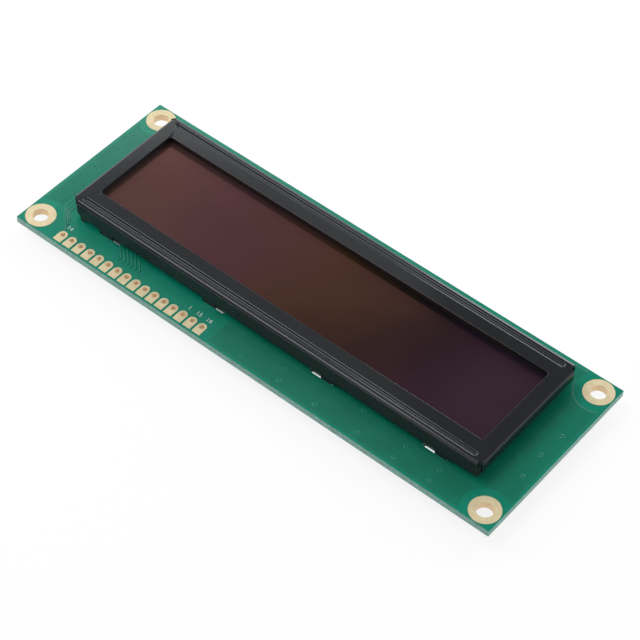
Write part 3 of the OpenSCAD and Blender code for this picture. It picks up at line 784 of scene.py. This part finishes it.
paint = surface(
    "satin_black_paint", (0.0105, 0.0114, 0.0135, 1), (0.0120, 0.0128, 0.0145, 1),
    rough=(0.09, 0.12), grains=5200, blotches=90, depth=0.0015 * MM, Specular_Tint=(0.92, 0.96, 1, 1))


def trimmed(point):
    """Point of the folded sheet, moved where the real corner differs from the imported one."""
    x, y, z = point.x, point.y - bezel_middle, point.z
    far_right = x > 0 and y > 0
    ear_corner = x * y > 0
    below_fold = z < bezel_high.z - BEND + HAIR
    wall_end = abs(x) > bezel_x - 2 * CORNER_GAP + WALL_SHIFT
    if abs(x) > bezel_x - SHEET - HAIR and z < lip_edge + HAIR:
        z -= LIP_DEEPER
    if abs(y) > bezel_y - SHEET - HAIR and wall_end and below_fold and not ear_corner:
        x += WALL_WING if x > 0 else -WALL_WING
    if far_right and abs(x - (bezel_x - CORNER_GAP - WALL_SHIFT)) < HAIR and y > bezel_y - BEND - HAIR:
        x += FAR_WALL_LONGER
    if far_right and abs(y - (bezel_y - CORNER_GAP)) < HAIR and x > bezel_x - BEND - HAIR:
        y -= FAR_LIP_SHORTER
    if not ear_corner and abs(abs(y) - (bezel_y - CORNER_GAP)) < HAIR and abs(x) > bezel_x - BEND - HAIR:
        y += LIP_LONGER if y > 0 else -LIP_LONGER
    if ear_corner and z > bezel_high.z - SHEET - HAIR:
        if abs(x) > bezel_x - HAIR:
            x -= EAR_CUT if x > 0 else -EAR_CUT
        if abs(x) > bezel_x - BEND - HAIR and abs(y) > bezel_y - BEND + EAR_CUT:
            y -= EAR_CUT if y > 0 else -EAR_CUT
    return Vector((x, y + bezel_middle, z))


sheet = bmesh.new()
sheet.from_mesh(solids["bezel"].data)
bmesh.ops.remove_doubles(sheet, verts=sheet.verts, dist=SAME_POINT)
for vert in sheet.verts:
    vert.co = trimmed(vert.co)
for face in sheet.faces:
    face.smooth = True
    face.material_index = 0
bezel_mesh = bpy.data.meshes.new("folded_bezel")
sheet.to_mesh(bezel_mesh)
sheet.free()
bezel_mesh.materials.append(paint)
bezel_mesh.set_sharp_from_angle(angle=FLAT_TURN)
bezel_holder = bpy.data.objects.new("folded_bezel_start", bezel_mesh)
flats = bezel_holder.modifiers.new("flats", "WEIGHTED_NORMAL")
flats.keep_sharp = True
place_piece("folded_bezel", evaluated_mesh(bezel_holder), ("bezel",))

# Controller dome
# Black epoxy dropped over the bonded controller die inside the printed ring, and cured to a low dome.
# It wets the board in a slightly uneven edge.
DOME_TURNS, DOME_RINGS = 96, 16
DOME_WANDER, DOME_FULLNESS = 0.008, 0.12
dome_height = dome_high.z - dome_low.z
dome = bmesh.new()
dome_rings = []
for ring in range(1, DOME_RINGS + 1):
    reach = ring / DOME_RINGS
    rim = []
    for step in range(DOME_TURNS):
        turn = 2 * pi * step / DOME_TURNS
        wander = 1 - DOME_WANDER * reach * (2 + sin(3 * turn + 0.4) + sin(7 * turn + 1.9) / 2)
        drop = dome_height * (1 - reach ** 2) * (1 + DOME_FULLNESS * reach ** 2)
        out = dome_radius * reach * wander
        rim.append(dome.verts.new((dome_x + out * cos(turn), dome_y + out * sin(turn), board_back - drop)))
    dome_rings.append(rim)
dome_top = dome.verts.new((dome_x, dome_y, board_back - dome_height))
for step in range(DOME_TURNS):
    after = (step + 1) % DOME_TURNS
    dome.faces.new((dome_top, dome_rings[0][step], dome_rings[0][after]))
    for inner, outer in zip(dome_rings, dome_rings[1:]):
        dome.faces.new((inner[step], outer[step], outer[after], inner[after]))
dome.faces.new(dome_rings[-1])
for face in dome.faces:
    face.smooth = len(face.verts) < 5
bmesh.ops.recalc_face_normals(dome, faces=dome.faces)
epoxy = surface(
    "black_epoxy", (0.012, 0.012, 0.012, 1), (0.018, 0.018, 0.017, 1),
    rough=(0.22, 0.38), grains=1200, blotches=260, depth=0.02 * MM)
place_piece("epoxy_dome", made_mesh(dome, "epoxy_dome", epoxy), ("controller_dome",))

# Supply coil
# Pressed and sintered ferrite: a drum wound with enamelled copper wire, inside a square shield.
# Its tinned terminals are soldered to the board, like the leads of the parts beside it.
WIRE_TURNS_PER_METRE = 5500
WIRE_PAINTED_SHADE, WIRE_PAINTED_HIGHLIGHT = (0.34, 0.13, 0.05, 1), (0.72, 0.38, 0.20, 1)
WIRE_RISE = 0.05 * MM
ferrite = surface(
    "grey_ferrite", (0.085, 0.085, 0.088, 1), (0.060, 0.060, 0.063, 1),
    rough=(0.6, 0.8), grains=9000, blotches=900, depth=0.012 * MM)
dress("coil_shield", ferrite)
dress("coil_core", ferrite)
wire, tree, shader = finish("enamelled_wire", Metallic=1.0, Roughness=0.28)
height = put(tree, "ShaderNodeSeparateXYZ", {0: object_place(tree)}).outputs[2]
turn_phase = sums(tree, "FRACT", sums(tree, "MULTIPLY", height, WIRE_TURNS_PER_METRE))
round_wire = sums(tree, "SINE", sums(tree, "MULTIPLY", turn_phase, pi))
# Painted highlight and shade: each turn of wire is painted bright on its crest and dark where it meets the
# next turn.
tree.links.new(mix_colour(tree, round_wire, WIRE_PAINTED_SHADE, WIRE_PAINTED_HIGHLIGHT), shader.inputs["Base Color"])
relief(tree, shader, round_wire, WIRE_RISE)
dress("coil_winding", wire)
for node in ("coil_terminals", "diode_leads", "converter_leads"):
    dress(node, tinned)

# Diode and converter
# Black epoxy moulded round the leads in a split tool: the sides taper both ways from the parting line.
# A printed band marks one end of the diode.
MOULD_TAPER = 0.07 * MM
MOULD_ROUND = 0.05 * MM
BAND_START, BAND_END = 0.25 * MM, 0.65 * MM
mould = surface(
    "moulded_epoxy", (0.022, 0.022, 0.024, 1), (0.030, 0.030, 0.031, 1),
    rough=(0.5, 0.62), grains=9000, blotches=1200, depth=0.008 * MM)


def moulded(name, node):
    """Moulded body in the place of a packed one."""
    low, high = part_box(node)
    parting = (low.z + high.z) / 2
    shape = bmesh.new()
    levels = []
    for z, inset in ((high.z, MOULD_TAPER), (parting, 0.0), (low.z, MOULD_TAPER)):
        left, right, near, far = low.x + inset, high.x - inset, low.y + inset, high.y - inset
        corners = ((left, near), (right, near), (right, far), (left, far))
        levels.append([shape.verts.new((x, y, z)) for x, y in corners])
    shape.faces.new(levels[0])
    shape.faces.new(levels[-1])
    for upper, lower in zip(levels, levels[1:]):
        for i in range(4):
            shape.faces.new((upper[i], lower[i], lower[(i + 1) % 4], upper[(i + 1) % 4]))
    bmesh.ops.recalc_face_normals(shape, faces=shape.faces)
    rounded(shape, MOULD_ROUND)
    return place_piece(name, made_mesh(shape, name, mould), (node,))


moulded("moulded_diode", "diode_body")
moulded("moulded_converter", "converter_body")
diode_low, diode_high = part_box("diode_body")
band_low = (diode_low.x + BAND_START, diode_low.y + 2 * MOULD_TAPER, diode_low.z - INK_RISE / 2)
band_high = (diode_low.x + BAND_END, diode_high.y - 2 * MOULD_TAPER, diode_low.z + INK_RISE / 2)
place_piece("diode_band", made_mesh(block(band_low, band_high), "diode_band", ink))

# Chips
# Fired ceramic blocks with tinned wrap-round ends: glazed resistors in one row, bare capacitors in another.
# They hang on the board by the solder that climbs their ends.
CHIP_ROUND, CHIP_STEP = 0.06 * MM, 0.02 * MM
CHIP_END = 0.4 * MM
SOLDER_REACH, SOLDER_TIP = 0.42 * MM, 0.02 * MM
SOLDER_STEPS, SOLDER_CLIMB, SOLDER_FLARE, SOLDER_SHOULDER = 6, 0.75, 0.12, 0.8


def chip_shapes(height, length):
    """Body and two ends of one chip that hangs from the board's back."""
    half, inner = length / 2, length / 2 - CHIP_END
    side = CHIP_WIDTH / 2 - CHIP_STEP
    body = block((-side, -inner, CHIP_STEP - height), (side, inner, 0))
    ends = []
    for y0, y1 in ((-half, -inner), (inner, half)):
        end = block((-CHIP_WIDTH / 2, y0, -height), (CHIP_WIDTH / 2, y1, 0))
        rounded(end, CHIP_ROUND)
        ends.append(end)
    return body, ends


def solder_wedge(width, start, reach, rise):
    """Solder that climbs the end of a part: hollow outside, flat under."""
    shape = bmesh.new()
    rows = []
    for i in range(SOLDER_STEPS + 1):
        share = i / SOLDER_STEPS
        half = width / 2 * (1 + SOLDER_FLARE * share)
        shoulder = half * SOLDER_SHOULDER
        drop = SOLDER_TIP + rise * (1 - share) ** 2
        section = ((-half, 0), (-shoulder, -drop), (shoulder, -drop), (half, 0))
        rows.append([shape.verts.new((x, start + reach * share, z)) for x, z in section])
    for near, far in zip(rows, rows[1:]):
        for i in range(4):
            shape.faces.new((near[i], far[i], far[(i + 1) % 4], near[(i + 1) % 4]))
    shape.faces.new(rows[0])
    shape.faces.new(rows[-1])
    bmesh.ops.recalc_face_normals(shape, faces=shape.faces)
    for face in shape.faces:
        face.smooth = True
    return shape


def wedge_pair(width, start, reach, rise):
    """Solder at both ends of a part."""
    pair = [solder_wedge(width, start, reach, rise) for _ in range(2)]
    bmesh.ops.rotate(pair[1], verts=pair[1].verts, cent=(0, 0, 0), matrix=Matrix.Rotation(pi, 3, "Z"))
    return pair


CERAMIC, CERAMIC_GREY, GLAZE_BLACK = (0.78, 0.77, 0.72, 1), (0.68, 0.67, 0.62, 1), (0.025, 0.025, 0.03, 1)
CERAMIC_GRAIN = 0.004 * MM
GLAZED_BELOW, BARE_ABOVE = -0.8, -0.6
glaze, tree, shader = finish("glazed_ceramic", Roughness=0.35)
normal = put(tree, "ShaderNodeNewGeometry").outputs["Normal"]
level = put(tree, "ShaderNodeSeparateXYZ", {0: normal}).outputs[2]
outward = spread(tree, level, GLAZED_BELOW, BARE_ABOVE, 1, 0)
grain, blotch = grained(tree, grains=6000, blotches=1500)
fired = mix_colour(tree, blotch, CERAMIC, CERAMIC_GREY)
tree.links.new(mix_colour(tree, outward, fired, GLAZE_BLACK), shader.inputs["Base Color"])
relief(tree, shader, grain, CERAMIC_GRAIN)
tan_ceramic = surface(
    "tan_ceramic", (0.50, 0.36, 0.24, 1), (0.42, 0.29, 0.19, 1),
    rough=(0.45, 0.6), grains=6000, blotches=1600, depth=0.006 * MM)
for name, (low, high), count, (start, step), body_finish in (
    ("resistor", (resistor_low, resistor_high), RESISTOR_COUNT, (resistor_start, resistor_step), glaze),
    ("capacitor", (capacitor_low, capacitor_high), CAPACITOR_COUNT, (capacitor_start, capacitor_step),
     tan_ceramic),
):
    height, length = high.z - low.z, high.y - low.y
    body, ends = chip_shapes(height, length)
    middle = (start, (low.y + high.y) / 2, board_back)
    place_row(name + "_blocks", [body], count, middle, step, body_finish, (name + "_bodies",))
    place_row(name + "_ends", ends, count, middle, step, tinned, (name + "_caps",))
    solder = wedge_pair(CHIP_WIDTH, length / 2, SOLDER_REACH, SOLDER_CLIMB * height)
    place_row(name + "_solder", solder, count, middle, step, tinned)

# Studio
# Plain white table under a ring of square soft boxes, the strongest low behind the module and on its left.
# Its flat dark faces mirror two dim upright panels behind it, and under its left half the table carries a
# painted shade.
TABLE_SIZE = 6.0
TABLE_SHADE, UNDER_SHADE = 0.15, 0.75
SHADE_HALF, SHADE_EDGE = 14 * MM, 17 * MM
SHADE_START, SHADE_FULL = -55 * MM, -53 * MM
SHADE_FADE, SHADE_END = -30 * MM, 30 * MM
low, high = solids_box
half = TABLE_SIZE / 2
table = bpy.data.meshes.new("table")
corners = ((-half, -half), (half, -half), (half, half), (-half, half))
table.from_pydata([(x, y, low[2]) for x, y in corners], [], [(0, 1, 2, 3)])
floor = bpy.data.objects.new("floor", table)
bpy.context.scene.collection.objects.link(floor)
table_paint, tree, shader = finish("white_table", Base_Color=(0.92, 0.92, 0.92, 1), Roughness=0.9)
light_path = put(tree, "ShaderNodeLightPath").outputs
seen = sums(tree, "MAXIMUM", light_path["Is Camera Ray"], light_path["Is Glossy Ray"])
seen = sums(tree, "MAXIMUM", seen, light_path["Is Transmission Ray"])
glow = put(tree, "ShaderNodeEmission", {"Color": (1, 1, 1, 1), "Strength": 1.0})
table_place = put(tree, "ShaderNodeSeparateXYZ", {0: object_place(tree)}).outputs
# Painted shade: under the module's left half the table shows less of its white glow, fading out towards the
# middle.
under = spread(tree, sums(tree, "ABSOLUTE", table_place[1]), SHADE_HALF, SHADE_EDGE, 1, 0)
under = sums(tree, "MULTIPLY", under, spread(tree, table_place[0], SHADE_START, SHADE_FULL, 0, 1))
under = sums(tree, "MULTIPLY", under, spread(tree, table_place[0], SHADE_FADE, SHADE_END, UNDER_SHADE, 0))
topside = sums(tree, "SUBTRACT", 1, put(tree, "ShaderNodeNewGeometry").outputs["Backfacing"])
whiteness = sums(tree, "SUBTRACT", 1 - TABLE_SHADE, sums(tree, "MULTIPLY", under, topside))
cover = put(tree, "ShaderNodeMixShader", {0: sums(tree, "MULTIPLY", seen, whiteness)})
tree.links.new(shader.outputs[0], cover.inputs[1])
tree.links.new(glow.outputs[0], cover.inputs[2])
tree.links.new(cover.outputs[0], tree.nodes["Material Output"].inputs["Surface"])
table.materials.append(table_paint)

SURROUND_LOW, SURROUND_HIGH = 0.0, 0.23
SURROUND_FROM, SURROUND_TO = 0.30, 0.55
world = bpy.data.worlds.new("studio")
world.use_nodes = True
tree = world.node_tree
heading = put(tree, "ShaderNodeTexCoord").outputs["Generated"]
rise = put(tree, "ShaderNodeSeparateXYZ", {0: heading}).outputs[2]
surround = tree.nodes["Background"].inputs
brightness = spread(tree, rise, SURROUND_FROM, SURROUND_TO, SURROUND_LOW, SURROUND_HIGH)
tree.links.new(brightness, surround["Strength"])
surround["Color"].default_value = (1, 1, 1, 1)
bpy.context.scene.world = world

LAMP_DISTANCE = 0.65
LOW_RISE, HIGH_RISE, FRONT_RISE = radians(22), radians(61), radians(53)
LOW_SIZE, HIGH_SIZE = 0.5, 0.3
PANEL_BACK = Vector((0, 1, 0))


def soft_lamp(name, place, facing, width, height, power):
    """Rectangular soft lamp at a place, shining against the facing direction."""
    lamp = bpy.data.lights.new(name, "AREA")
    lamp.shape = "RECTANGLE"
    lamp.size, lamp.size_y = width, height
    lamp.energy = power
    holder = bpy.data.objects.new(name, lamp)
    holder.visible_camera = False
    bpy.context.scene.collection.objects.link(holder)
    turned = facing.to_track_quat("Z", "Y").to_matrix().to_4x4()
    holder.matrix_world = Matrix.Translation(place) @ turned


def soft_box(name, turn, rise, size, power):
    """Square soft lamp at a turn round the module and a rise above the table, facing the module."""
    place = LAMP_DISTANCE * Vector((cos(rise) * cos(turn), cos(rise) * sin(turn), sin(rise)))
    soft_lamp(name, place, place, size, size, power)


soft_box("back_box", radians(90), LOW_RISE, LOW_SIZE, power=3.15)
soft_box("left_box", radians(180), LOW_RISE, LOW_SIZE, power=2.45)
soft_box("right_box", radians(0), LOW_RISE, LOW_SIZE, power=0.95)
soft_box("back_left_box", radians(135), LOW_RISE, LOW_SIZE, power=0.88)
soft_box("back_right_box", radians(45), LOW_RISE, LOW_SIZE, power=0.44)
soft_box("front_box", radians(270), LOW_RISE, LOW_SIZE, power=0.39)
soft_box("high_left_box", radians(180), HIGH_RISE, HIGH_SIZE, power=0.96)
soft_box("high_front_box", radians(228), FRONT_RISE, HIGH_SIZE, power=0.64)
soft_lamp("low_panel", Vector((-0.34, 0.21, 0.145)), PANEL_BACK, width=0.46, height=0.29, power=0.19)
soft_lamp("high_panel", Vector((-0.36, 0.21, 0.40)), PANEL_BACK, width=0.48, height=0.30, power=0.085)

# Camera
# A long lens that looks down on the module from its near right.
# Its place and roll were fitted to the pin pitch, the corner holes and the corners of the board and bezel.
VIEW_TURN, VIEW_RISE, VIEW_ROLL = radians(37.982), radians(49.483), radians(2.122)
VIEW_DISTANCE = 444.843 * MM
VIEW_AIM = Vector((3.662 * MM, -1.636 * MM, 0))
LENS_LENGTH, SENSOR_WIDTH = 124.774, 36
NEAREST, FARTHEST = 0.01, 50
lens = bpy.data.cameras.new("camera")
lens.lens = LENS_LENGTH
lens.sensor_width = SENSOR_WIDTH
lens.clip_start, lens.clip_end = NEAREST, FARTHEST
camera = bpy.data.objects.new("camera", lens)
bpy.context.scene.collection.objects.link(camera)
back = Vector((sin(VIEW_TURN) * cos(VIEW_RISE), -cos(VIEW_TURN) * cos(VIEW_RISE), sin(VIEW_RISE)))
right = Vector((cos(VIEW_TURN), sin(VIEW_TURN), 0))
up = back.cross(right)
tilted_right = right * cos(VIEW_ROLL) + up * sin(VIEW_ROLL)
tilted_up = up * cos(VIEW_ROLL) - right * sin(VIEW_ROLL)
turn = Matrix((tilted_right, tilted_up, back)).transposed().to_4x4()
camera.matrix_world = Matrix.Translation(VIEW_AIM + back * VIEW_DISTANCE) @ turn
bpy.context.scene.camera = camera
bpy.context.scene.view_settings.view_transform = "Standard"
